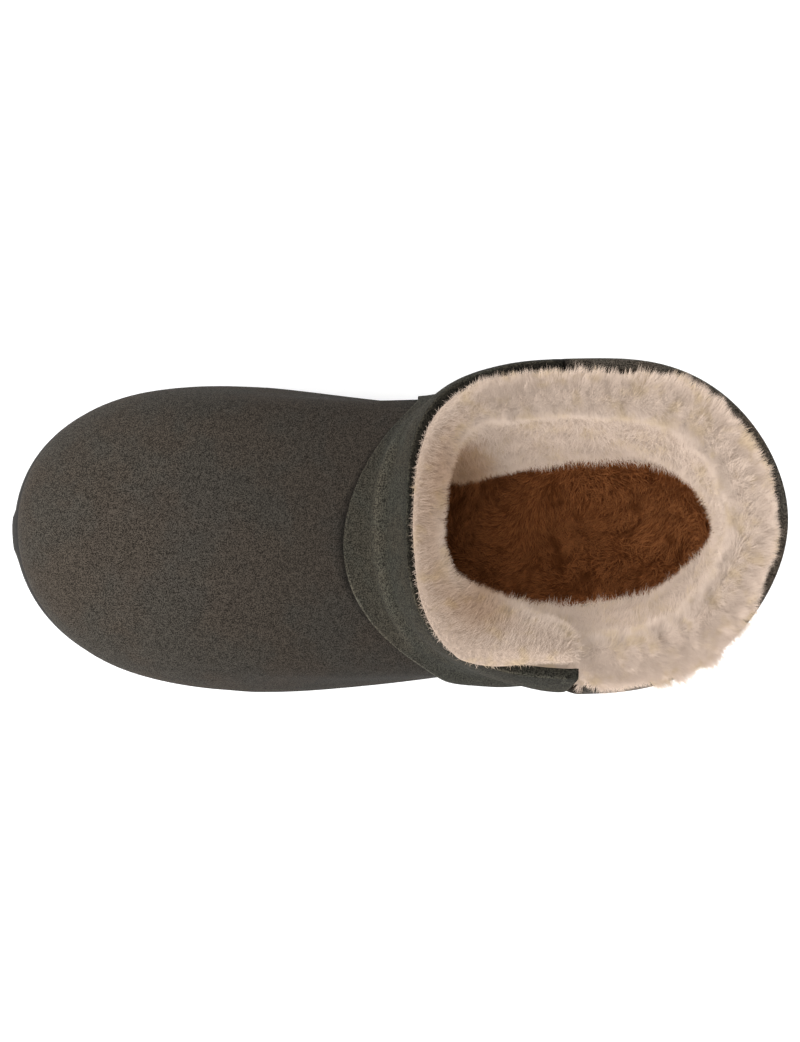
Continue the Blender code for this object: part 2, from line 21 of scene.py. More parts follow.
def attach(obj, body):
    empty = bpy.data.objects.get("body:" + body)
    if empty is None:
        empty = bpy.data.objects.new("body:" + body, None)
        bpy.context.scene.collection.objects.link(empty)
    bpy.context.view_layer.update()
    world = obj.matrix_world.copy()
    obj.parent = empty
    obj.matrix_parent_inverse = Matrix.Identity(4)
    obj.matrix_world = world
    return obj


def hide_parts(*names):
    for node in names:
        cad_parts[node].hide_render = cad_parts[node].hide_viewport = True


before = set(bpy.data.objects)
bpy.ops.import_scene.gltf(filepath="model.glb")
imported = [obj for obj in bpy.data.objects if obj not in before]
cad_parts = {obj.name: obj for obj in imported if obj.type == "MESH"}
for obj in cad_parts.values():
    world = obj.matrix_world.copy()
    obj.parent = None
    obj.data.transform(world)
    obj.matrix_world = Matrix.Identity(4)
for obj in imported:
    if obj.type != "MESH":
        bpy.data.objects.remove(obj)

LOG = logging.getLogger("bootie")
MM = 0.001
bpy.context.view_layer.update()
QUICK_SHARE = 1.0
SHARP = math.radians(50)  # Edges sharper than this are rims
STRAND_STEPS = 2  # Faces along a wool strand, of which the last is a triangle

Colour = tuple[float, float, float]
Place = tuple[float, float, float]
Span = tuple[float, float]


class Region(Enum):
    """Parts of the wool pile that are dressed as pieces of their own."""

    FRONT_RIM = "front_rim"
    INNER_RIM = "inner_rim"
    BACK_RIM = "back_rim"
    LAPEL = "lapel"
    WALL = "wall"


# Shader expressions


@dataclass(frozen=True)
class Value:
    """A socket of a shader tree that takes part in Python expressions."""

    shader: "Shader"
    socket: bpy.types.NodeSocket

    def _math(self, operation: str, first: Any, second: Any) -> "Value":
        """One Math node between two values."""
        made = self.shader.node("ShaderNodeMath", {"operation": operation}, {0: first, 1: second})
        return self.shader.value(made, 0)

    def __add__(self, other: Any) -> "Value":
        """This value plus another."""
        return self._math("ADD", self, other)

    def __radd__(self, other: Any) -> "Value":
        """Another value plus this one."""
        return self._math("ADD", other, self)

    def __mul__(self, other: Any) -> "Value":
        """This value times another."""
        return self._math("MULTIPLY", self, other)

    def __rmul__(self, other: Any) -> "Value":
        """Another value times this one."""
        return self._math("MULTIPLY", other, self)


class Shader:
    """Builds one material around a Principled BSDF."""

    def __init__(self, name: str) -> None:
        """Makes the material and takes hold of its shader node.

        Args:
            name: The material's name.
        """
        self.material = bpy.data.materials.new(name)
        self.material.use_nodes = True
        self.tree = self.material.node_tree
        self.surface = self.tree.nodes["Principled BSDF"]

    def node(self, kind: str, settings: dict, inputs: dict) -> bpy.types.Node:
        """Adds a node.

        Args:
            kind: The node's type.
            settings: Its own properties, which are set first.
            inputs: Values or links of its sockets, by name or number.

        Returns:
            The new node.
        """
        made = self.tree.nodes.new(kind)
        for key, value in settings.items():
            setattr(made, key, value)
        for key, value in inputs.items():
            self.feed(made.inputs[key], value)
        return made

    def feed(self, socket: bpy.types.NodeSocket, value: Any) -> None:
        """Links a value to a socket, or sets the socket to a constant."""
        if isinstance(value, Value):
            self.tree.links.new(value.socket, socket)
        else:
            socket.default_value = value

    def value(self, node: bpy.types.Node, output: Union[int, str]) -> Value:
        """An output of a node as a value."""
        return Value(self, node.outputs[output])

    def place(self) -> Value:
        """The point's place on the object."""
        return self.value(self.node("ShaderNodeTexCoord", {}, {}), "Object")

    def noise(self, size: float, detail: float, rough: float) -> Value:
        """Noise about 0.5.

        Args:
            size: Size of its lumps in metres.
            detail: Number of finer layers.
            rough: Strength of the finer layers.

        Returns:
            The noise's value.
        """
        inputs = {"Vector": self.place(), "Scale": 1.0 / size, "Detail": detail}
        return self.value(self.node("ShaderNodeTexNoise", {}, {**inputs, "Roughness": rough}), 0)

    def attribute(self, name: str) -> Value:
        """A number kept on the mesh."""
        return self.value(self.node("ShaderNodeAttribute", {"attribute_name": name}, {}), "Fac")

    def soft_normal(self, share: float) -> Value:
        """The surface's normal drawn towards that of the skin which the strand grows on."""
        own = self.value(self.node("ShaderNodeNewGeometry", {}, {}), "Normal")
        skin = self.node("ShaderNodeAttribute", {"attribute_name": "skin_normal"}, {})
        parts = [
            self.node("ShaderNodeVectorMath", {"operation": "SCALE"}, {0: part, "Scale": weight})
            for part, weight in ((own, 1.0 - share), (self.value(skin, "Vector"), share))
        ]
        first, second = (self.value(part, 0) for part in parts)
        both = self.node("ShaderNodeVectorMath", {"operation": "ADD"}, {0: first, 1: second})
        unit = {"operation": "NORMALIZE"}
        return self.value(self.node("ShaderNodeVectorMath", unit, {0: self.value(both, 0)}), 0)

    def blend(self, share: Any, first: Any, second: Any, kind: str = "MIX") -> Value:
        """A colour between two colours, or their product with MULTIPLY."""
        settings = {"data_type": "RGBA", "blend_type": kind}
        made = self.node("ShaderNodeMix", settings, {0: share, 6: first, 7: second})
        return self.value(made, 2)

    def shade(self, colour: Union[Value, Colour], factor: Any) -> Value:
        """A colour times a number."""
        inputs = {0: colour, "Scale": factor}
        return self.value(self.node("ShaderNodeVectorMath", {"operation": "SCALE"}, inputs), 0)

    def range(self, value: Value, span: Span, start: float, end: float) -> Value:
        """A number carried from a span to another on an S-curve, and held at its ends."""
        inputs = {0: value, 1: span[0], 2: span[1], 3: start, 4: end}
        made = self.node("ShaderNodeMapRange", {"interpolation_type": "SMOOTHSTEP"}, inputs)
        return self.value(made, 0)

    def bump(self, height: Value, depth: float, strength: float = 1.0) -> Value:
        """A bumped normal."""
        inputs = {"Height": height, "Distance": depth, "Strength": strength}
        return self.value(self.node("ShaderNodeBump", {}, inputs), 0)

    def finish(self, **sockets: Any) -> bpy.types.Material:
        """Feeds the surface's sockets, whose names have underscores for spaces.

        Returns:
            The finished material.
        """
        for key, value in sockets.items():
            self.feed(self.surface.inputs[key.replace("_", " ")], value)
        return self.material


def rgba(colour: Colour) -> tuple[float, float, float, float]:
    """A colour with full alpha."""
    return (*colour, 1.0)


@dataclass(frozen=True)
class SuedeFinish:
    """Brushed suede: a fine speckled nap whose tint drifts in soft clouds.

    The spans say between which values of their noise the nap and the tint change.
    """

    name: str
    dark: Colour
    light: Colour
    warm: Colour = (1.05, 0.99, 0.93)
    cool: Colour = (0.98, 1.0, 0.985)
    grain: float = 0.38 * MM
    blotch_grains: float = 4.0
    speckle_share: float = 0.88
    blotch_share: float = 0.12
    nap_span: Span = (0.41, 0.59)
    nap_depth: float = 0.22 * MM
    nap_strength: float = 0.9
    cloud: float = 26.0 * MM
    cloud_span: Span = (0.40, 0.60)

    def material(self) -> bpy.types.Material:
        """Builds the suede.

        Returns:
            The material.
        """
        made = Shader(self.name)
        speckle = made.noise(self.grain, 3.0, 0.75)
        blotch = made.noise(self.grain * self.blotch_grains, 2.0, 0.6)
        cloud = made.noise(self.cloud, 3.0, 0.6)
        nap = speckle * self.speckle_share + blotch * self.blotch_share
        lit = made.range(nap, self.nap_span, 0.0, 1.0)
        colour = made.blend(lit, rgba(self.dark), rgba(self.light))
        warmth = made.range(cloud, self.cloud_span, 0.0, 1.0)
        tint = made.blend(warmth, rgba(self.cool), rgba(self.warm))
        colour = made.blend(1.0, colour, tint, "MULTIPLY")
        colour = made.shade(colour, made.attribute("shade"))
        return made.finish(
            Base_Color=colour,
            Roughness=0.95,
            Specular_IOR_Level=0.08,
            Normal=made.bump(nap, self.nap_depth, self.nap_strength),
        )


@dataclass(frozen=True)
class WoolFinish:
    """Wool strands, deeper in colour at the root, with tufts of differing tone.

    Light that spreads through the pile is stood for by a glow, and lit is the share of the
    colour that lamps still light. Shaded places take the deep tint.
    """

    name: str
    root: Colour
    tip: Colour
    tuft: Colour
    tuft_size: float
    softness: float = 0.8
    lit: float = 1.0
    glow: float = 0.0
    root_span: Span = (0.0, 0.8)
    tuft_span: Span = (0.50, 0.70)
    tuft_share: float = 0.75
    tones: Span = (0.95, 1.05)
    deep: Colour = (1.0, 0.80, 0.62)
    deep_span: Span = (0.30, 0.70)

    def material(self) -> bpy.types.Material:
        """Builds the wool.

        Returns:
            The material.
        """
        made = Shader(self.name)
        along = made.range(made.attribute("along"), self.root_span, 0.0, 1.0)
        colour = made.blend(along, rgba(self.root), rgba(self.tip))
        tufts = made.noise(self.tuft_size, 2.0, 0.6)
        tufts = made.range(tufts, self.tuft_span, 0.0, self.tuft_share)
        colour = made.blend(tufts, colour, rgba(self.tuft))
        tone = made.range(made.attribute("tone"), (0.0, 1.0), *self.tones)
        light = made.attribute("shade")
        deep = made.range(light, self.deep_span, 1.0, 0.0)
        colour = made.blend(deep, colour, rgba(self.deep), "MULTIPLY")
        colour = made.shade(colour, tone * light)
        return made.finish(
            Base_Color=made.shade(colour, self.lit),
            Roughness=1.0,
            Specular_IOR_Level=0.05,
            Emission_Color=colour,
            Emission_Strength=self.glow,
            Normal=made.soft_normal(self.softness),
        )


@dataclass(frozen=True)
class PlainFinish:
    """One colour with a fine grain, for foam or the floor."""

    name: str
    colour: Colour
    roughness: float
    grain: float
    depth: float
    contrast: float = 0.12
    glow: float = 0.0
    grain_span: Span = (0.3, 0.7)

    def material(self) -> bpy.types.Material:
        """Builds the finish.

        Returns:
            The material.
        """
        made = Shader(self.name)
        grain = made.noise(self.grain, 3.0, 0.6)
        tone = made.range(grain, self.grain_span, 1.0 - self.contrast, 1.0 + self.contrast)
        return made.finish(
            Base_Color=made.shade(self.colour, tone),
            Roughness=self.roughness,
            Specular_IOR_Level=0.25,
            Emission_Color=rgba(self.colour),
            Emission_Strength=self.glow,
            Normal=made.bump(grain, self.depth),
        )


VAMP_SUEDE = SuedeFinish("vamp_suede", (0.0075, 0.0063, 0.0050), (0.057, 0.049, 0.041))
WRAP_SUEDE = SuedeFinish(
    "wrap_suede_brushed", (0.0055, 0.005, 0.0038), (0.046, 0.043, 0.034), grain=0.46 * MM
)
CUT_EDGE = SuedeFinish("cut_suede_edge", (0.070, 0.064, 0.050), (0.19, 0.175, 0.140))
CREAM_WOOL = WoolFinish(
    "cream_wool", (0.63, 0.485, 0.385), (0.80, 0.635, 0.52), (0.71, 0.54, 0.36),
    tuft_size=8.0 * MM, softness=0.9, lit=0.6, glow=0.52,
)
BROWN_WOOL = WoolFinish(
    "brown_wool", (0.145, 0.047, 0.0145), (0.41, 0.162, 0.060), (0.145, 0.046, 0.0135),
    tuft_size=7.0 * MM, glow=0.04,
)
FOAM = PlainFinish(
    "foam_sole", (0.024, 0.022, 0.020), roughness=0.62, grain=1.4 * MM, depth=0.08 * MM
)
FLOOR = PlainFinish(
    "studio_floor", (0.93, 0.93, 0.93), roughness=0.9, grain=0.3, depth=0.0,
    contrast=0.0, glow=0.22,
)


# Meshes


def copy_of_node(node: str, name: str) -> bpy.types.Object:
    """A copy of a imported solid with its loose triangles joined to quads.

    Args:
        node: The solid's name.
        name: The copy's name.

    Returns:
        The new object.
    """
    mesh = bmesh.new()
    mesh.from_mesh(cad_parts[node].data)
    bmesh.ops.remove_doubles(mesh, verts=mesh.verts, dist=0.01 * MM)
    bmesh.ops.join_triangles(
        mesh, faces=mesh.faces, angle_face_threshold=0.75, angle_shape_threshold=1.2
    )
    return object_of(mesh, name)


def tree_of_node(node: str) -> BVHTree:
    """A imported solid's faces, ready to measure to."""
    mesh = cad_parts[node].data
    corners = [vertex.co[:] for vertex in mesh.vertices]
    return BVHTree.FromPolygons(corners, [face.vertices[:] for face in mesh.polygons])


def object_of(mesh: bmesh.types.BMesh, name: str) -> bpy.types.Object:
    """A smooth-shaded object of a bmesh, which is freed."""
    data = bpy.data.meshes.new(name)
    mesh.to_mesh(data)
    mesh.free()
    data.materials.clear()
    data.shade_smooth()
    made = bpy.data.objects.new(name, data)
    bpy.context.scene.collection.objects.link(made)
    return made


def settle(piece: bpy.types.Object) -> None:
    """Turns an object's live modifiers into plain mesh."""
    graph = bpy.context.evaluated_depsgraph_get()
    baked = bpy.data.meshes.new_from_object(piece.evaluated_get(graph), depsgraph=graph)
    piece.modifiers.clear()
    old = piece.data
    piece.data = baked
    bpy.data.meshes.remove(old)


def subdivide(piece: bpy.types.Object, levels: int, edge_hold: float) -> None:
    """Smooths a piece by subdivision, with its sharp rims held.

    Args:
        piece: The object.
        levels: How many times its faces are split.
        edge_hold: How firmly its rims are held, from 0 to 1.
    """
    mesh = bmesh.new()
    mesh.from_mesh(piece.data)
    layers = mesh.edges.layers.float
    crease = layers.get("crease_edge") or layers.new("crease_edge")
    for edge in mesh.edges:
        if len(edge.link_faces) == 2 and edge.calc_face_angle() > SHARP:
            edge[crease] = edge_hold
    mesh.to_mesh(piece.data)
    mesh.free()
    smooth = piece.modifiers.new("smooth", "SUBSURF")
    smooth.levels = smooth.render_levels = levels
    settle(piece)


def vertices(piece: bpy.types.Object) -> np.ndarray:
    """The vertices' places."""
    places = np.empty(len(piece.data.vertices) * 3, np.float32)
    piece.data.vertices.foreach_get("co", places)
    return places.reshape(-1, 3).astype(float)


def normals(piece: bpy.types.Object) -> np.ndarray:
    """The vertices' normals."""
    every = np.empty(len(piece.data.vertices) * 3, np.float32)
    piece.data.vertex_normals.foreach_get("vector", every)
    return every.reshape(-1, 3).astype(float)


def move_vertices(piece: bpy.types.Object, places: np.ndarray) -> None:
    """Puts the vertices in new places."""
    piece.data.vertices.foreach_set("co", places.astype(np.float32).ravel())
    piece.data.update()


def relax(piece: bpy.types.Object, share: np.ndarray, times: int, step: float = 0.6) -> None:
    """Evens out a surface by drawing each vertex towards the middle of its neighbours.

    Args:
        piece: The object.
        share: How strongly each vertex is drawn, from 0 to 1.
        times: How many times this is done.
        step: Part of the way that a vertex goes each time.
    """
    places = vertices(piece)
    ends = np.empty(len(piece.data.edges) * 2, np.int32)
    piece.data.edges.foreach_get("vertices", ends)
    first, second = ends.reshape(-1, 2).T
    count = np.bincount(ends, minlength=len(places))[:, None]
    for _ in range(times):
        total = np.zeros_like(places)
        np.add.at(total, first, places[second])
        np.add.at(total, second, places[first])
        places += step * share[:, None] * (total / count - places)
    move_vertices(piece, places)


def keep(piece: bpy.types.Object, name: str, values: np.ndarray) -> None:
    """Keeps a number or a vector on each vertex."""
    kind, field = ("FLOAT_VECTOR", "vector") if values.ndim == 2 else ("FLOAT", "value")
    layer = piece.data.attributes.new(name, kind, "POINT")
    layer.data.foreach_set(field, values.astype(np.float32).ravel())


def skin(
    piece: bpy.types.Object, shade: np.ndarray, along: float = 0.5, rise: float = 0.0
) -> None:
    """Keeps what the finishes read at each vertex of a surface.

    Args:
        piece: The surface.
        shade: How light its colour is, where 1 is the finish's own.
        along: The place on a wool strand whose colour it takes, from root to tip.
        rise: How far its wool's shading normals are turned upwards.
    """
    count = len(piece.data.vertices)
    keep(piece, "shade", np.broadcast_to(shade, count))
    keep(piece, "along", np.full(count, along))
    keep(piece, "tone", np.full(count, 0.5))
    raised = normals(piece) + np.array([0.0, 0.0, rise])
    keep(piece, "skin_normal", raised / np.linalg.norm(raised, axis=1, keepdims=True))


def soft_step(low: float, high: float, value: np.ndarray) -> np.ndarray:
    """0 before low, 1 past high, and an S-curve between, also where high is the smaller one."""
    share = np.clip((value - low) / (high - low), 0.0, 1.0)
    return share * share * (3.0 - 2.0 * share)


def step_over(span: Span, value: np.ndarray) -> np.ndarray:
    """A soft step between the two ends of a span in millimetres, for values in metres."""
    return soft_step(span[0] * MM, span[1] * MM, value)


def lumps(places: np.ndarray, size: float, offset: float = 0.0) -> np.ndarray:
    """Smooth noise from -1 to 1 at each place."""
    return np.array([noise(Vector(p / size) + Vector((offset, 0, 0))) for p in places])


def distance_to_path(places: np.ndarray, path: np.ndarray) -> tuple[np.ndarray, np.ndarray]:
    """Distance from each place to a path of points, and how far along it the nearest point is.

    Args:
        places: Places to measure from.
        path: The path's points.

    Returns:
        The distances, and shares of the path's length from 0 to 1.
    """
    best = np.full(len(places), 1e9)
    share = np.zeros(len(places))
    for number, (start, end) in enumerate(zip(path, path[1:])):
        step = end - start
        along = np.clip((places - start) @ step / (step @ step), 0.0, 1.0)
        gap = np.linalg.norm(places - (start + along[:, None] * step), axis=1)
        nearer = gap < best
        best[nearer] = gap[nearer]
        share[nearer] = (number + along[nearer]) / (len(path) - 1)
    return best, share


@dataclass(frozen=True)
class Push:
    """A soft push of the surface round a place, all in millimetres."""

    name: str
    middle: Place
    reach: float
    way: Place

    def shift(self, places: np.ndarray) -> np.ndarray:
        """How far the push moves each place, in metres."""
        gap = np.linalg.norm(places - np.array(self.middle) * MM, axis=1) / (self.reach * MM)
        return np.exp(-(gap**2))[:, None] * np.array(self.way) * MM


@dataclass(frozen=True)
class Crease:
    """A soft fold in the suede, with a ridge on both its sides, all in millimetres.

    A depth below zero makes it a ridge between two dips. The fold fades out over the ends, as a
    share of its length, and the two ridges lie ridge_at widths from its middle.
    """

    name: str
    path: tuple[Place, ...]
    width: float
    depth: float
    ends: float = 0.18
    ridge: float = 0.45
    ridge_at: float = 1.7

    def lift(self, places: np.ndarray) -> np.ndarray:
        """How far the fold moves each place along its normal, in metres."""
        gap, share = distance_to_path(places, np.array(self.path) * MM)
        reach = gap / (self.width * MM)
        fade = soft_step(0.0, self.ends, share) * soft_step(0.0, self.ends, 1.0 - share)
        valley = np.exp(-(reach**2))
        ridge = self.ridge * np.exp(-((reach - self.ridge_at) ** 2))
        return self.depth * MM * fade * (ridge - valley)


# Pieces


def dress(
    piece: bpy.types.Object, nodes: Sequence[str], slot: str, *finishes: bpy.types.Material
) -> bpy.types.Object:
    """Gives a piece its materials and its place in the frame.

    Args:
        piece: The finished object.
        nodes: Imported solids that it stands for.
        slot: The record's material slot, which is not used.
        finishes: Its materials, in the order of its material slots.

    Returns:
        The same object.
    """
    piece.data.materials.clear()
    for finish in finishes:
        piece.data.materials.append(finish)
    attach(piece, "root")
    if nodes:
        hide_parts(*nodes)
    faces = sum(len(face.vertices) - 2 for face in piece.data.polygons)
    LOG.info("%s: %d triangles", piece.name, faces)
    return piece


def mark_cut_edges(piece: bpy.types.Object) -> None:
    """Gives the narrow faces between a wall's two sides the second material."""
    mesh = bmesh.new()
    mesh.from_mesh(piece.data)
    for face in mesh.faces:
        sharp = [e for e in face.edges if e.is_manifold and e.calc_face_angle() > SHARP]
        face.material_index = 1 if len(sharp) >= 2 else 0
    mesh.to_mesh(piece.data)
    mesh.free()


@dataclass
class SuedeUpper:
    """Vamp, quarters and the back of the shaft, with the soft dents of worn suede.

    Sizes and spans are in millimetres, and shades are shares of the finish's own colour.
    """

    levels: int = 2
    edge_hold: float = 0.75
    dent: float = 0.45
    dent_size: float = 38.0
    sole_fade: Span = (14.0, 30.0)
    toe_shade: float = 1.12
    heel_loss: float = 0.46
    heel_span: Span = (-125.0, 5.0)
    collar_painted_light: float = 0.8
    collar_span: Span = (100.0, 118.0)
    wrap_shadow_depth: float = 0.78
    wrap_span: Span = (0.4, 3.2)
    wrap_search: float = 12.0
    creases: tuple[Crease, ...] = (
        Crease("inner side of the vamp", ((-52, 40, 44), (-30, 38, 52), (-8, 35, 60)), 7.0, 0.7),
        Crease("outer side of the vamp", ((-60, -46, 40), (-34, -45, 50), (-6, -43, 60)), 8.0, 0.8),
        Crease("outer heel", ((60, -43, 58), (84, -41, 52), (106, -33, 50)), 6.0, 0.8),
        Crease("inner heel", ((62, 42, 56), (86, 40, 50), (108, 30, 48)), 6.0, 0.7),
        Crease("back of the heel", ((112, -24, 72), (122, 0, 74), (114, 24, 72)), 6.0, 0.6),
    )

    def build(self) -> bpy.types.Object:
        """Builds and dresses the upper.

        Returns:
            The upper.
        """
        piece = copy_of_node("upper", "suede_upper")
        mark_cut_edges(piece)
        subdivide(piece, self.levels, self.edge_hold)
        places, out = vertices(piece), normals(piece)
        lift = self.dent * MM * lumps(places, self.dent_size * MM)
        for crease in self.creases:
            lift += crease.lift(places)
        lift *= step_over(self.sole_fade, places[:, 2])
        move_vertices(piece, places + out * lift[:, None] * facing(places, out)[:, None])
        shade = self.toe_shade - self.heel_loss * step_over(self.heel_span, places[:, 0])
        # Painted light lifts the band below the collar, which the wool above and its steep face
        # leave in shade
        shade += self.collar_painted_light * step_over(self.collar_span, places[:, 2])
        # Painted shadow of the wrap's lower edge darkens the vamp beside it
        skin(piece, shade * (1.0 - self.wrap_shadow_depth * self.shadow_of_wrap(places)))
        return dress(piece, ["upper"], "dark_suede", VAMP_SUEDE.material(), CUT_EDGE.material())

    def shadow_of_wrap(self, places: np.ndarray) -> np.ndarray:
        """1 right beside the wrap's edge, where its painted shadow falls on the vamp, and 0 away
        from it.
        """
        wrap, far = tree_of_node("front_wrap"), self.wrap_search * MM
        gaps = [wrap.find_nearest(Vector(place), far)[3] for place in places]
        gaps = np.array([far if gap is None else gap for gap in gaps])
        return 1.0 - step_over(self.wrap_span, gaps)


def facing(places: np.ndarray, out: np.ndarray) -> np.ndarray:
    """1 on a wall's outer side and -1 on its inner side, so that both sides move alike."""
    away = places - np.array([0.0, 0.0, 45.0 * MM])
    away[:, 0] *= 0.5  # The boot is about twice as long as it is wide
    return np.sign(np.einsum("ij,ij->i", away, out))


@dataclass
class InstepWrap:
    """Wrap across the instep and the front of the shaft, with a raw lower edge.

    Sizes and spans are in millimetres. Low and high edges differ in how deep the shadow painted on
    their cut faces is, and raw_span says how far to the outer side the light cut edge shows.
    """

    levels: int = 2
    edge_hold: float = 0.7
    dent: float = 0.3
    dent_size: float = 20.0
    shade: float = 0.9
    shaft_gain: float = 0.12
    shaft_span: Span = (97.0, 104.0)
    fold_highlight: float = 0.42
    fold_width: float = 2.0
    collar_shadow: float = 0.3
    collar_span: Span = (117.0, 125.0)
    edge_gain: float = 0.3
    raw_gain: float = 0.9
    raw_span: Span = (8.0, 20.0)
    low_edge_shadow: float = 0.85
    high_edge_shadow_relief: float = 0.4
    edge_span: Span = (96.0, 110.0)
    pushes: tuple[Push, ...] = (
        Push("inner corner laid flat on the suede", (14.0, 46.5, 71.0), 13.0, (0.0, -1.6, 0.0)),
        Push("outer end, which stands off", (56.0, -52.0, 108.0), 17.0, (0.0, -2.4, 0.0)),
    )
    creases: tuple[Crease, ...] = (
        Crease(
            "fold above the lower edge",
            (
                (3.1, 30.9, 102.4), (1.1, 25.3, 103.2), (-1.5, 17.0, 103.2), (-3.0, 3.0, 102.6),
                (-1.8, -11.0, 102.5), (0.8, -22.5, 101.8), (4.1, -30.1, 100.4), (8.1, -38.0, 95.5),
            ),
            width=2.4,
            depth=-0.8,
        ),
        Crease("inner corner", ((22, 46, 88), (38, 51, 92), (56, 53, 98)), 6.0, 0.9),
        Crease("outer corner", ((20, -46, 92), (34, -50, 96), (50, -50, 104)), 6.0, 0.9),
    )

    def build(self) -> bpy.types.Object:
        """Builds and dresses the wrap.

        Returns:
            The wrap.
        """
        piece = copy_of_node("front_wrap", "instep_wrap")
        mark_cut_edges(piece)
        subdivide(piece, self.levels, self.edge_hold)
        places, out = vertices(piece), normals(piece)
        lift = self.dent * MM * lumps(places, self.dent_size * MM, 4.0)
        for crease in self.creases:
            lift += crease.lift(places)
        move_vertices(piece, places + out * lift[:, None] * facing(places, out)[:, None])
        move_vertices(piece, vertices(piece) + sum(push.shift(places) for push in self.pushes))
        skin(piece, self.shading(piece, places))
        finishes = WRAP_SUEDE.material(), CUT_EDGE.material()
        return dress(piece, ["front_wrap"], "wrap_suede", *finishes)

    def shading(self, piece: bpy.types.Object, places: np.ndarray) -> np.ndarray:
        """How light the suede is at each vertex: its lighter shaft, a painted highlight on its
        fold, painted shade along its top rim, and its cut edges, lighter at their border and with
        painted shadow on the low ones.

        Args:
            piece: The wrap, whose cut edges have the second material.
            places: The vertices' places before the suede was dented.

        Returns:
            The shades.
        """
        gap, _ = distance_to_path(places, np.array(self.creases[0].path) * MM)
        shade = self.shade + self.shaft_gain * step_over(self.shaft_span, places[:, 2])
        # Painted highlight along the ridge of the fold
        shade += self.fold_highlight * np.exp(-((gap / (self.fold_width * MM)) ** 2))
        # Painted shade along the top rim beside the wool
        shade *= 1.0 - self.collar_shadow * step_over(self.collar_span, places[:, 2])
        plain, cut = np.zeros(len(places)), np.zeros(len(places))
        for face in piece.data.polygons:
            (cut if face.material_index == 1 else plain)[list(face.vertices)] = 1.0
        raw = step_over(self.raw_span, -places[:, 1])
        shade *= 1.0 + cut * plain * (self.edge_gain + self.raw_gain * raw)
        # Painted shadow on the cut faces of the edge, deepest on the low front edge and none on the
        # outer side
        height = step_over(self.edge_span, places[:, 2])
        dark = self.low_edge_shadow - self.high_edge_shadow_relief * height
        return shade * (1.0 - dark * cut * (1.0 - plain) * (1.0 - raw))


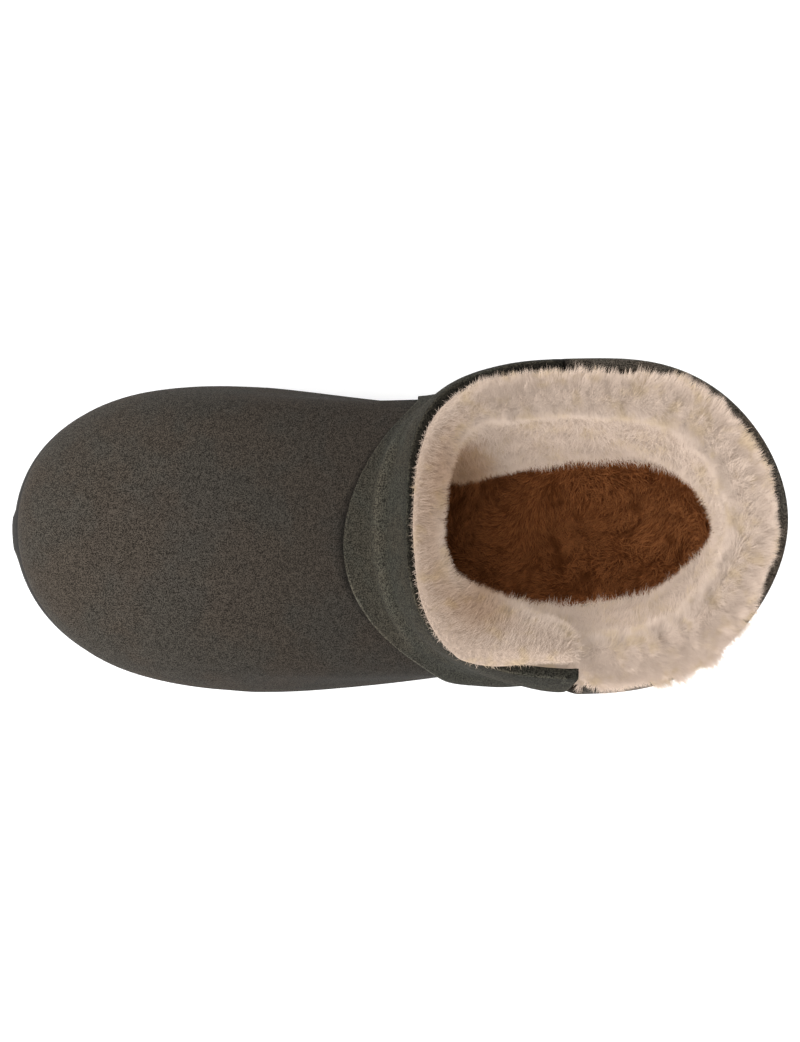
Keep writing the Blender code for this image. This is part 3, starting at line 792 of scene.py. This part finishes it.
@dataclass
class StrandTree:
    """Geometry Nodes tree that grows tufted wool strands on a surface.

    The surface keeps how dense the pile is, which way it is combed, how long its strands are and
    its normals. The lengths are the least and the greatest share of a strand's length.
    """

    strand: bpy.types.Object
    finish: bpy.types.Material
    lengths: Span = (0.7, 1.25)

    def build(self) -> bpy.types.NodeTree:
        """Builds the tree.

        Returns:
            The tree, whose inputs are named for what they set.
        """
        tree = bpy.data.node_groups.new("wool_strands", "GeometryNodeTree")
        self.tree = tree
        face = tree.interface
        face.new_socket("Geometry", in_out="INPUT", socket_type="NodeSocketGeometry")
        for name, value in (
            ("Strands per m2", 1e6),
            ("Lean", 0.8),
            ("Tuft size", 5 * MM),
            ("Tuft pull", 0.8),
            ("Disorder", 0.5),
        ):
            socket = face.new_socket(name, in_out="INPUT", socket_type="NodeSocketFloat")
            socket.default_value = value
        socket = face.new_socket("Seed", in_out="INPUT", socket_type="NodeSocketInt")
        socket.default_value = 1
        face.new_socket("Geometry", in_out="OUTPUT", socket_type="NodeSocketGeometry")
        given = self.add("NodeGroupInput").outputs
        points = self.add(
            "GeometryNodeDistributePointsOnFaces",
            {"distribute_method": "RANDOM"},
            {"Mesh": given["Geometry"], "Seed": given["Seed"]},
        )
        density = self.scaled(self.number("pile"), given["Strands per m2"])
        self.link(density, points.inputs["Density"])
        place = self.add("GeometryNodeInputPosition").outputs[0]
        cells = self.add(
            "ShaderNodeTexVoronoi",
            {"feature": "F1"},
            {"Vector": place, "Scale": self.divided(1.0, given["Tuft size"]), "Randomness": 1.0},
        )
        pull = self.vector("SUBTRACT", cells.outputs["Position"], place)
        pull = self.vector("SCALE", pull, self.divided(given["Tuft pull"], given["Tuft size"]))
        wild = self.random((-1.0, -1.0, -1.0), (1.0, 1.0, 1.0), given["Seed"])
        wild = self.vector("SCALE", wild, given["Disorder"])
        comb = self.vector("SCALE", self.named("comb"), given["Lean"])
        out = self.vector("ADD", points.outputs["Normal"], comb)
        heading = self.vector("ADD", self.vector("ADD", out, pull), wild)
        turn = self.add(
            "FunctionNodeAlignRotationToVector", {"axis": "Z"}, {"Vector": heading}
        ).outputs[0]
        spin = self.random(0.0, math.tau, given["Seed"])
        spin = self.add("FunctionNodeAxisAngleToRotation", {}, {"Angle": spin}).outputs[0]
        turn = self.add(
            "FunctionNodeRotateRotation",
            {"rotation_space": "LOCAL"},
            {"Rotation": turn, "Rotate By": spin},
        ).outputs[0]
        size = self.scaled(self.random(*self.lengths, given["Seed"]), self.number("reach"))
        strand = self.add("GeometryNodeObjectInfo", {"transform_space": "ORIGINAL"}, {})
        strand.inputs["Object"].default_value = self.strand
        grown = self.add(
            "GeometryNodeInstanceOnPoints",
            {},
            {
                "Points": points.outputs["Points"],
                "Instance": strand.outputs["Geometry"],
                "Rotation": turn,
                "Scale": self.joined(1.0, 1.0, size),
            },
        )
        kept = grown.outputs[0]
        for kind, name, value in (
            ("FLOAT", "tone", self.random(0.0, 1.0, given["Seed"])),
            ("FLOAT_VECTOR", "skin_normal", self.named("skin_normal")),
        ):
            kept = self.add(
                "GeometryNodeStoreNamedAttribute",
                {"data_type": kind, "domain": "INSTANCE"},
                {"Geometry": kept, "Name": name, "Value": value},
            ).outputs[0]
        real = self.add("GeometryNodeRealizeInstances", {}, {"Geometry": kept})
        painted = self.add("GeometryNodeSetMaterial", {}, {"Geometry": real.outputs[0]})
        painted.inputs["Material"].default_value = self.finish
        self.add("NodeGroupOutput", {}, {0: painted.outputs[0]})
        return tree

    def add(
        self, kind: str, settings: Optional[dict] = None, inputs: Optional[dict] = None
    ) -> bpy.types.Node:
        """Adds a node.

        Args:
            kind: The node's type.
            settings: Its own properties.
            inputs: Values or sockets for its inputs.

        Returns:
            The new node.
        """
        made = self.tree.nodes.new(kind)
        for key, value in (settings or {}).items():
            setattr(made, key, value)
        for key, value in (inputs or {}).items():
            self.link(value, made.inputs[key])
        return made

    def link(self, value: Any, socket: bpy.types.NodeSocket) -> None:
        """Links a socket to another, or sets it to a constant."""
        if isinstance(value, bpy.types.NodeSocket):
            self.tree.links.new(value, socket)
        else:
            socket.default_value = value

    def random(self, low: Any, high: Any, seed: bpy.types.NodeSocket) -> bpy.types.NodeSocket:
        """A number or a vector between two others, drawn for each strand."""
        many = isinstance(low, tuple)
        first, output = (0, 0) if many else (2, 1)
        settings = {"data_type": "FLOAT_VECTOR" if many else "FLOAT"}
        inputs = {first: low, first + 1: high, "Seed": seed}
        return self.add("FunctionNodeRandomValue", settings, inputs).outputs[output]

    def maths(self, operation: str, first: Any, second: Any) -> bpy.types.NodeSocket:
        """One step of maths on numbers."""
        made = self.add("ShaderNodeMath", {"operation": operation}, {0: first, 1: second})
        return made.outputs[0]

    def scaled(self, first: Any, second: Any) -> bpy.types.NodeSocket:
        """One number times another."""
        return self.maths("MULTIPLY", first, second)

    def divided(self, first: Any, second: Any) -> bpy.types.NodeSocket:
        """One number over another."""
        return self.maths("DIVIDE", first, second)

    def vector(self, operation: str, first: Any, second: Any) -> bpy.types.NodeSocket:
        """One step of vector maths, where SCALE takes a number second."""
        made = self.add("ShaderNodeVectorMath", {"operation": operation}, {0: first})
        self.link(second, made.inputs["Scale" if operation == "SCALE" else 1])
        return made.outputs[0]

    def joined(self, x: Any, y: Any, z: Any) -> bpy.types.NodeSocket:
        """A vector of three numbers."""
        return self.add("ShaderNodeCombineXYZ", {}, {0: x, 1: y, 2: z}).outputs[0]

    def number(self, name: str) -> bpy.types.NodeSocket:
        """A number kept on the surface."""
        made = self.add("GeometryNodeInputNamedAttribute", {"data_type": "FLOAT"}, {"Name": name})
        return made.outputs["Attribute"]

    def named(self, name: str) -> bpy.types.NodeSocket:
        """A vector kept on the surface."""
        settings = {"data_type": "FLOAT_VECTOR"}
        made = self.add("GeometryNodeInputNamedAttribute", settings, {"Name": name})
        return made.outputs["Attribute"]


def curled_strand(name: str, width: float, curl: float, droop: float = 0.12) -> bpy.types.Object:
    """One flat wool strand a metre long, to be scaled by its real length, standing on Z.

    Args:
        name: The object's name.
        width: Width at its root, in metres.
        curl: How far the tip bends over, in metres.
        droop: How much lower the tip stands for it, as a share of its length.

    Returns:
        The strand, hidden from view.
    """
    mesh = bmesh.new()
    along = mesh.verts.layers.float.new("along")
    rows = []
    for number in range(STRAND_STEPS + 1):
        share = number / STRAND_STEPS
        bend = curl * share**2
        half = width / 2 * (1.0 - share**2)
        sides = (0.0,) if number == STRAND_STEPS else (-half, half)
        row = [mesh.verts.new((side, bend, share - droop * share**3)) for side in sides]
        for vert in row:
            vert[along] = share
        rows.append(row)
    for low, high in zip(rows, rows[1:]):
        mesh.faces.new([*low, *reversed(high)])
    made = object_of(mesh, name)
    made.hide_render = True
    made.hide_viewport = True
    return made


@dataclass(frozen=True)
class Fur:
    """How one region's strands grow, with sizes in millimetres.

    Lean, tuft pull and disorder are weights against the skin's normal, and triangles is about how
    many the strands have in all.
    """

    name: str
    triangles: int
    length: float
    width: float
    curl: float
    lean: float
    tuft_size: float
    tuft_pull: float
    disorder: float
    seed: int


def grow_fur(
    base: bpy.types.Object,
    fur: Fur,
    pile: np.ndarray,
    comb: np.ndarray,
    reach: np.ndarray,
    finish: bpy.types.Material,
) -> bpy.types.Object:
    """Grows strands on a copy of a surface and makes them one plain mesh.

    Args:
        base: The surface.
        fur: How the strands grow.
        pile: Share of the full density at each vertex.
        comb: Which way the strands lean at each vertex.
        reach: Share of the full length at each vertex.
        finish: The strands' material.

    Returns:
        The strands as one object.
    """
    piece = bpy.data.objects.new(fur.name, base.data.copy())
    bpy.context.scene.collection.objects.link(piece)
    keep(piece, "pile", pile)
    keep(piece, "comb", comb)
    ragged = 1.0 + 0.25 * lumps(vertices(piece), 7 * MM, 9.0)
    keep(piece, "reach", fur.length * MM * reach * ragged)
    strand = curled_strand(fur.name + "_strand", fur.width * MM, fur.curl * MM)
    area = 0.0
    for face in base.data.polygons:
        area += face.area * float(np.mean(pile[list(face.vertices)]))
    density = fur.triangles * QUICK_SHARE / (2 * STRAND_STEPS - 1) / max(area, 1e-9)
    tree = StrandTree(strand, finish).build()
    grown = piece.modifiers.new("wool", "NODES")
    grown.node_group = tree
    settings = {
        "Strands per m2": density,
        "Lean": fur.lean,
        "Tuft size": fur.tuft_size * MM,
        "Tuft pull": fur.tuft_pull,
        "Disorder": fur.disorder,
        "Seed": fur.seed,
    }
    for item in tree.interface.items_tree:
        if item.in_out == "INPUT" and item.name in settings:
            grown[item.identifier] = settings[item.name]
    settle(piece)
    bpy.data.objects.remove(strand)
    return piece


@dataclass(frozen=True)
class Shadow:
    """A painted shadow on a deep place in the pile as seen from above, in millimetres."""

    name: str
    middle: tuple[float, float]
    reach: float
    depth: float

    def loss(self, places: np.ndarray) -> np.ndarray:
        """The share of its light that each place loses."""
        gap = np.linalg.norm(places[:, :2] - np.array(self.middle) * MM, axis=1)
        return self.depth * np.exp(-((gap / (self.reach * MM)) ** 2))


# Turns round the opening in degrees from its front, positive on the inner side, where the rim's
# regions start and end
RIM_TURNS = {
    Region.FRONT_RIM: (-85.0, 50.0),
    Region.INNER_RIM: (50.0, 125.0),
    Region.BACK_RIM: (125.0, 222.0),
    Region.LAPEL: (222.0, 275.0),
}


@dataclass
class PileLining:
    """Cream wool pile: a lumpy base and strands in regions, which spill over the collar.

    Sizes and spans are in millimetres. A facing is 1 where the pile looks out from the opening's
    middle and -1 where it looks in.
    """

    levels: int = 2
    edge_hold: float = 0.2
    opening: tuple[float, float] = (68.0, 2.0)
    rim_height: float = 117.0
    rim_blend: float = 4.0
    spill_span: Span = (122.0, 127.0)
    outer_facing: Span = (-0.3, 0.4)
    inner_facing: Span = (-0.5, 0.4)
    sink: float = 1.3
    sink_span: Span = (20.0, 40.0)
    lump: float = 1.2
    lump_size: float = 10.0
    small_lump: float = 0.45
    small_lump_size: float = 4.5
    relaxed: int = 24
    relaxed_span: Span = (60.0, 100.0)
    # The pile is bare where the suede or the sole lies within the cover behind it, or the suede's
    # edge ends no further below than the rim gap. Below the skirt its outer side is bare as well,
    # and so is all that lies below the sole's joint
    cover: float = 5.0
    rim_gap: float = 2.5
    skirt: float = 113.0
    skirt_facing: float = 0.2
    joint: float = 17.0
    # The strands are combed apart at the slit, within its reach in degrees
    slit_turn: float = -83.0
    slit_reach: float = 5.0
    slit_part: float = 1.6
    # How far they wander along the rim, there and down inside, and how far they lean upwards
    # everywhere, also inside, and also at the rim's outer edge
    wander: Span = (0.55, 0.6)
    wander_size: float = 15.0
    lifts: tuple[float, float, float] = (0.35, 0.45, 0.5)
    over_facing: Span = (-1.3, -0.1)
    ragged: float = 0.6
    ragged_size: float = 5.0
    # Painted shade of the base below the strands, painted shade down at the front, and on the
    # crest, whose strands fan out and would look too light
    base_shade: float = 0.84
    base_along: float = 0.2
    rise: float = 0.9
    deep_loss: float = 0.28
    deep_heights: Span = (100.0, 70.0)
    deep_lengths: Span = (40.0, 24.0)
    crest_loss: float = 0.13
    crest_facing: float = -0.5
    crest_width: float = 0.3
    wall_lengths: Span = (-22.0, 8.0)
    # Triangles, length, width, curl, lean, tuft size, tuft pull, disorder and seed
    furs: tuple[tuple[Region, Fur], ...] = (
        (Region.FRONT_RIM, Fur("wool_front_rim", 110000, 5.0, 0.17, 1.6, 1.4, 5.0, 0.35, 0.3, 11)),
        (Region.INNER_RIM, Fur("wool_inner_rim", 130000, 7.0, 0.19, 2.2, 1.5, 4.5, 0.65, 0.3, 12)),
        (Region.BACK_RIM, Fur("wool_back_rim", 150000, 7.0, 0.19, 2.2, 1.5, 4.5, 0.65, 0.3, 13)),
        (Region.LAPEL, Fur("wool_lapel", 110000, 7.0, 0.19, 2.2, 1.6, 4.5, 0.6, 0.3, 14)),
        (Region.WALL, Fur("wool_wall", 190000, 5.0, 0.22, 2.2, 1.3, 7.0, 0.5, 0.4, 15)),
    )
    # By turn round the opening, positive on the inner side: how far the strands lean out over the
    # rim, their length as a share, how much shorter they are at the rim's outer edge, how far
    # that edge draws back from the suede (below zero it spills over it), and shade
    rows: tuple[tuple[float, float, float, float, float, float], ...] = (
        (-180.0, 1.0, 1.0, 0.50, 2.2, 1.00),
        (-160.0, 1.0, 1.0, 0.45, 1.6, 1.00),
        (-150.0, 1.0, 1.0, 0.20, 0.0, 1.00),
        (-128.0, 1.0, 1.0, 0.00, -0.5, 1.04),
        (-110.0, 1.0, 1.0, 0.10, 1.0, 1.08),
        (-92.0, 0.9, 0.9, 0.30, 2.4, 1.06),
        (-82.0, -0.1, 0.8, 0.50, 1.0, 0.96),
        (-70.0, -0.5, 0.8, 0.70, 1.4, 0.92),
        (-58.0, -0.8, 0.8, 0.75, -2.6, 0.90),
        (-45.0, -1.0, 0.8, 0.75, -6.8, 0.85),
        (-35.0, -1.0, 0.8, 0.75, -5.8, 0.81),
        (-20.0, -1.0, 0.8, 0.75, -4.4, 0.76),
        (0.0, -1.0, 0.8, 0.75, -4.2, 0.74),
        (30.0, -0.5, 0.8, 0.70, -2.4, 0.82),
        (55.0, 0.7, 0.9, 0.50, 0.4, 0.94),
        (75.0, 1.0, 1.0, 0.50, 2.0, 1.00),
        (100.0, 1.0, 1.0, 0.35, 3.6, 1.00),
        (120.0, 1.0, 1.0, 0.25, 1.4, 1.00),
        (140.0, 1.0, 1.0, 0.50, 1.6, 1.00),
        (180.0, 1.0, 1.0, 0.50, 2.2, 1.00),
    )
    pushes: tuple[Push, ...] = (
        Push("outer side at the collar", (33.0, -33.0, 102.0), 24.0, (1.0, 10.5, 0.0)),
        Push("outer side behind the instep", (34.0, -36.0, 60.0), 21.0, (0.0, 10.5, 0.0)),
        Push("inner side behind the instep", (26.0, 30.0, 48.0), 24.0, (0.0, -10.5, 0.0)),
        Push("inner side below the collar", (66.0, 34.0, 52.0), 22.0, (0.0, -2.4, 0.0)),
        Push("middle of the front", (25.0, 2.0, 116.0), 22.0, (-4.5, 0.0, 0.0)),
        Push("outer side of the heel", (104.0, -16.0, 50.0), 18.0, (-3.5, 2.5, 0.0)),
    )
    shadows: tuple[Shadow, ...] = (
        Shadow("front corner, inner side", (27.0, 18.0), 13.0, 0.42),
        Shadow("front corner, outer side", (32.0, -22.0), 12.0, 0.34),
        Shadow("beside the slit", (66.0, -36.0), 6.0, 0.18),
        Shadow("below the slit", (55.0, -26.0), 9.0, 0.14),
    )

    def build(self) -> list[bpy.types.Object]:
        """Builds and dresses the base and its strands.

        Returns:
            The pieces.
        """
        finish = CREAM_WOOL.material()
        base = copy_of_node("fleece_lining", "wool_lining")
        subdivide(base, self.levels, self.edge_hold)
        places, out = vertices(base), normals(base)
        hidden = self.backed(places, out)
        sink = self.sink * MM * step_over(self.sink_span, places[:, 2])
        rough = lumps(places, self.lump_size * MM)
        rough += self.small_lump * lumps(places, self.small_lump_size * MM, 2.0)
        sink -= self.lump * MM * rough * (1.0 - hidden)
        moved = places - out * sink[:, None]
        away = places[:, :2] - np.array(self.opening) * MM
        away /= np.linalg.norm(away, axis=1, keepdims=True)
        facing_out = np.einsum("ij,ij->i", away, out[:, :2])
        turn = np.degrees(np.arctan2(away[:, 1], -away[:, 0]))
        at, *columns = zip(*self.rows)
        lean, length, shorter, drawn, shade = (np.interp(turn, at, column) for column in columns)
        rim, blend = self.rim_height * MM, self.rim_blend * MM
        rim = soft_step(rim - blend, rim + blend, places[:, 2])
        outwards = soft_step(*self.outer_facing, facing_out)
        outer = rim * outwards
        bare = (facing_out > self.skirt_facing) * (places[:, 2] < self.skirt * MM)
        hidden = np.maximum(hidden, bare)
        inner = 1.0 - soft_step(*self.inner_facing, facing_out)
        for push in self.pushes:
            moved += push.shift(places) * ((1.0 - hidden) * inner)[:, None]
        spill = step_over(self.spill_span, places[:, 2]) * outwards
        drawn = np.where(drawn > 0.0, drawn * outer, drawn * spill)
        moved[:, :2] -= away * (drawn * MM)[:, None]
        move_vertices(base, moved)
        relax(base, (1.0 - hidden) * step_over(self.relaxed_span, places[:, 2]), self.relaxed)
        places, out = vertices(base), normals(base)
        crest = rim * np.exp(-(((facing_out - self.crest_facing) / self.crest_width) ** 2))
        shade = self.deepened(shade, places, crest)
        skin(base, shade * self.base_shade, self.base_along, self.rise)
        over = soft_step(*self.over_facing, np.einsum("ij,ij->i", away, out[:, :2]))
        wander = self.wander[0] + self.wander[1] * inner * (1.0 - rim)
        side = wander * lumps(places, self.wander_size * MM, 5.0)
        past = (turn - self.slit_turn) / self.slit_reach
        side += self.slit_part * rim * np.exp(-(past**2)) * np.sign(past)
        lift = self.lifts[0] + self.lifts[1] * inner * (lean > 0.0) + self.lifts[2] * outer
        comb = self.comb(out, away, lean * over, side, lift)
        reach = (1.0 + rim * (length - 1.0)) * (1.0 - shorter * outer)
        reach *= 1.0 + self.ragged * outer * lumps(places, self.ragged_size * MM, 11.0)
        pieces = []
        for region, fur in self.furs:
            share = self.region_share(region, turn, places) * (1.0 - hidden)
            piece = grow_fur(base, fur, share, comb, reach, finish)
            pieces.append(dress(piece, [], "cream_pile", finish))
        dress(base, ["fleece_lining"], "cream_pile", finish)
        return [base, *pieces]

    def deepened(self, shade: np.ndarray, places: np.ndarray, crest: np.ndarray) -> np.ndarray:
        """Paints shade on what lies deep in the boot, and a little on the pile's crest.

        Args:
            shade: The shade at each vertex.
            places: The vertices' places.
            crest: 1 on the pile's crest and 0 away from it.

        Returns:
            The new shades.
        """
        deep = step_over(self.deep_heights, places[:, 2])
        deep = deep * step_over(self.deep_lengths, places[:, 0])
        shade = shade * (1.0 - self.deep_loss * deep) * (1.0 - self.crest_loss * crest)
        for shadow in self.shadows:
            shade *= 1.0 - shadow.loss(places)
        return shade

    def backed(self, places: np.ndarray, out: np.ndarray) -> np.ndarray:
        """1 where the suede or the sole lies right behind the pile's face, else 0."""
        walls = [tree_of_node(node) for node in ("upper", "front_wrap", "outsole")]
        reach = self.cover * MM
        hits = []
        for place, way in zip(places, out):
            start, heading = Vector(place) - Vector(way) * 0.2 * MM, Vector(way)
            if place[2] > self.skirt * MM:
                start.z += self.rim_gap * MM
            hits.append(any(w.ray_cast(start, heading, reach)[0] is not None for w in walls))
        low = places[:, 2] < self.joint * MM
        return np.maximum(np.array(hits, float), low.astype(float))

    def region_share(self, region: Region, turn: np.ndarray, places: np.ndarray) -> np.ndarray:
        """Share of the full density at each vertex for one region.

        Args:
            region: The region.
            turn: Angle round the opening from its front, in degrees, positive on the inner side.
            places: The vertices' places.

        Returns:
            The shares.
        """
        low_rim, high_rim = (self.rim_height - 9) * MM, (self.rim_height - 1) * MM
        if region is Region.WALL:
            shown = step_over(self.wall_lengths, places[:, 0])
            return shown * soft_step(high_rim + 8 * MM, low_rim + 6 * MM, places[:, 2])
        start, end = RIM_TURNS[region]
        within = (turn - start) % 360.0 < end - start
        return soft_step(low_rim, high_rim, places[:, 2]) * within

    def comb(
        self,
        out: np.ndarray,
        away: np.ndarray,
        lean: np.ndarray,
        side: np.ndarray,
        lift: np.ndarray,
    ) -> np.ndarray:
        """Which way along the skin the strands lean at each vertex.

        Args:
            out: The vertices' normals.
            away: Unit vectors out from the opening's middle, in plan.
            lean: How far the strands lean out over the rim.
            side: How far they lean along the rim.
            lift: How far they lean upwards.

        Returns:
            Vectors that lie in the skin.
        """
        round_rim = np.column_stack([-away[:, 1], away[:, 0]])
        flat = away * lean[:, None] + round_rim * side[:, None]
        heading = np.column_stack([flat, lift])
        return heading - out * np.einsum("ij,ij->i", heading, out)[:, None]


@dataclass
class WoolInsole:
    """Brown wool insole: a soft base and short matted strands.

    Sizes and spans are in millimetres. A slope is the upward part of the surface's normal.
    """

    levels: int = 2
    edge_hold: float = 0.3
    spread: float = 5.2
    lump: float = 0.9
    lump_size: float = 12.0
    sink: float = 0.8
    edge_slope: Span = (0.35, 0.9)
    edge_loss: float = 0.5
    front_shade: float = 0.60
    back_gain: float = 0.52
    back_span: Span = (18.0, 50.0)
    base_along: float = 0.3
    top_slope: Span = (0.3, 0.7)
    shown_span: Span = (-25.0, 5.0)
    swirl: float = 1.4
    swirl_size: float = 22.0
    swirl_back: float = 0.2
    # Triangles, length, width, curl, lean, tuft size, tuft pull, disorder and seed
    fur: Fur = Fur("wool_insole_strands", 100000, 6.0, 0.24, 2.0, 2.0, 8.0, 0.5, 0.3, 21)

    def build(self) -> list[bpy.types.Object]:
        """Builds and dresses the insole.

        Returns:
            The pieces.
        """
        finish = BROWN_WOOL.material()
        base = copy_of_node("insole", "wool_insole")
        subdivide(base, self.levels, self.edge_hold)
        places, out = vertices(base), normals(base)
        lift = self.lump * MM * lumps(places, self.lump_size * MM) - self.sink * MM
        places = places + out * lift[:, None]
        edge = 1.0 - soft_step(*self.edge_slope, np.abs(out[:, 2]))
        places[:, :2] += out[:, :2] * (self.spread * MM * edge)[:, None]
        move_vertices(base, places)
        # Painted shade darkens the insole towards the toe, deep inside the boot
        shade = self.front_shade + self.back_gain * step_over(self.back_span, places[:, 0])
        skin(base, shade, self.base_along)
        top = soft_step(*self.top_slope, out[:, 2]) * step_over(self.shown_span, places[:, 0])
        size = self.swirl_size * MM
        along, across = lumps(places, size, 3.0) - self.swirl_back, lumps(places, size, 7.0)
        swirl = np.column_stack([along, across, np.zeros(len(places))]) * self.swirl
        strands = grow_fur(base, self.fur, top, swirl, 1.0 - self.edge_loss * edge, finish)
        dress(strands, [], "brown_pile", finish)
        dress(base, ["insole"], "brown_pile", finish)
        return [base, strands]


@dataclass
class FoamSole:
    """Foam sole, smoothed round its outline, with a small bumper at the toe, in millimetres."""

    levels: int = 2
    edge_hold: float = 1.0
    bumper: float = 0.8
    bumper_half_width: float = 9.0
    bumper_middle: float = -1.5
    bumper_heights: Span = (10.0, 14.0)

    def build(self) -> bpy.types.Object:
        """Builds and dresses the sole.

        Returns:
            The sole.
        """
        piece = copy_of_node("outsole", "foam_outsole")
        subdivide(piece, self.levels, self.edge_hold)
        places = vertices(piece)
        toe = places[:, 0].min()
        front = 1.0 - soft_step(toe + 2 * MM, toe + 9 * MM, places[:, 0])
        half = self.bumper_half_width * MM
        across = np.abs(places[:, 1] - self.bumper_middle * MM)
        middle = 1.0 - soft_step(0.6 * half, half, across)
        upper_half = step_over(self.bumper_heights, places[:, 2])
        places[:, 0] -= self.bumper * MM * front * middle * upper_half
        move_vertices(piece, places)
        piece.data.set_sharp_from_angle(angle=math.radians(40))
        return dress(piece, ["outsole"], "dark_foam", FOAM.material())


@dataclass
class Studio:
    """White floor, soft light and the camera straight above, in metres and watts."""

    camera_place: Place = (0.0051, 0.0034, 1.3)
    view_long_side: float = 0.3751
    floor_size: float = 6.0
    room_light: float = 1.1
    # Place, size and power
    lamps: tuple[tuple[str, Place, float, float], ...] = (
        ("key_light", (-1.1, -0.1, 1.3), 1.4, 28.0),
        ("fill_light", (0.3, -1.0, 1.4), 1.5, 14.0),
    )
    lamp_target: Place = (0.0, 0.0, 0.05)

    def build(self) -> None:
        """Builds the floor, the lights and the camera."""
        scene = bpy.context.scene
        scene.view_settings.view_transform = "Standard"
        mesh = bmesh.new()
        half = self.floor_size / 2
        corners = ((-half, -half), (half, -half), (half, half), (-half, half))
        mesh.faces.new([mesh.verts.new((x, y, 0.0)) for x, y in corners])
        floor = object_of(mesh, "studio_floor")
        floor.data.materials.append(FLOOR.material())
        world = bpy.data.worlds.new("soft_room")
        world.use_nodes = True
        sky = world.node_tree.nodes["Background"].inputs
        sky["Color"].default_value = (1.0, 1.0, 1.0, 1.0)
        sky["Strength"].default_value = self.room_light
        scene.world = world
        for lamp in self.lamps:
            self.lamp(*lamp)
        lens = bpy.data.cameras.new("camera")
        lens.sensor_width = 36.0
        lens.lens = lens.sensor_width * self.camera_place[2] / self.view_long_side
        camera = bpy.data.objects.new("camera", lens)
        camera.location = self.camera_place
        scene.collection.objects.link(camera)
        scene.camera = camera

    def lamp(self, name: str, place: Place, size: float, power: float) -> None:
        """Adds a square lamp that faces the boot.

        Args:
            name: The lamp's name.
            place: Where it hangs.
            size: Length of its side.
            power: Its power.
        """
        light = bpy.data.lights.new(name, "AREA")
        light.size = size
        light.energy = power
        lamp = bpy.data.objects.new(name, light)
        lamp.location = place
        aim = Vector(self.lamp_target) - lamp.location
        lamp.rotation_euler = aim.to_track_quat("-Z", "Y").to_euler()
        bpy.context.scene.collection.objects.link(lamp)


def main() -> None:
    """Builds every piece in order."""
    logging.basicConfig(level=logging.INFO, format="%(name)s %(message)s")
    Studio().build()
    FoamSole().build()
    SuedeUpper().build()
    InstepWrap().build()
    PileLining().build()
    WoolInsole().build()


if __name__ == "__main__":
    main()
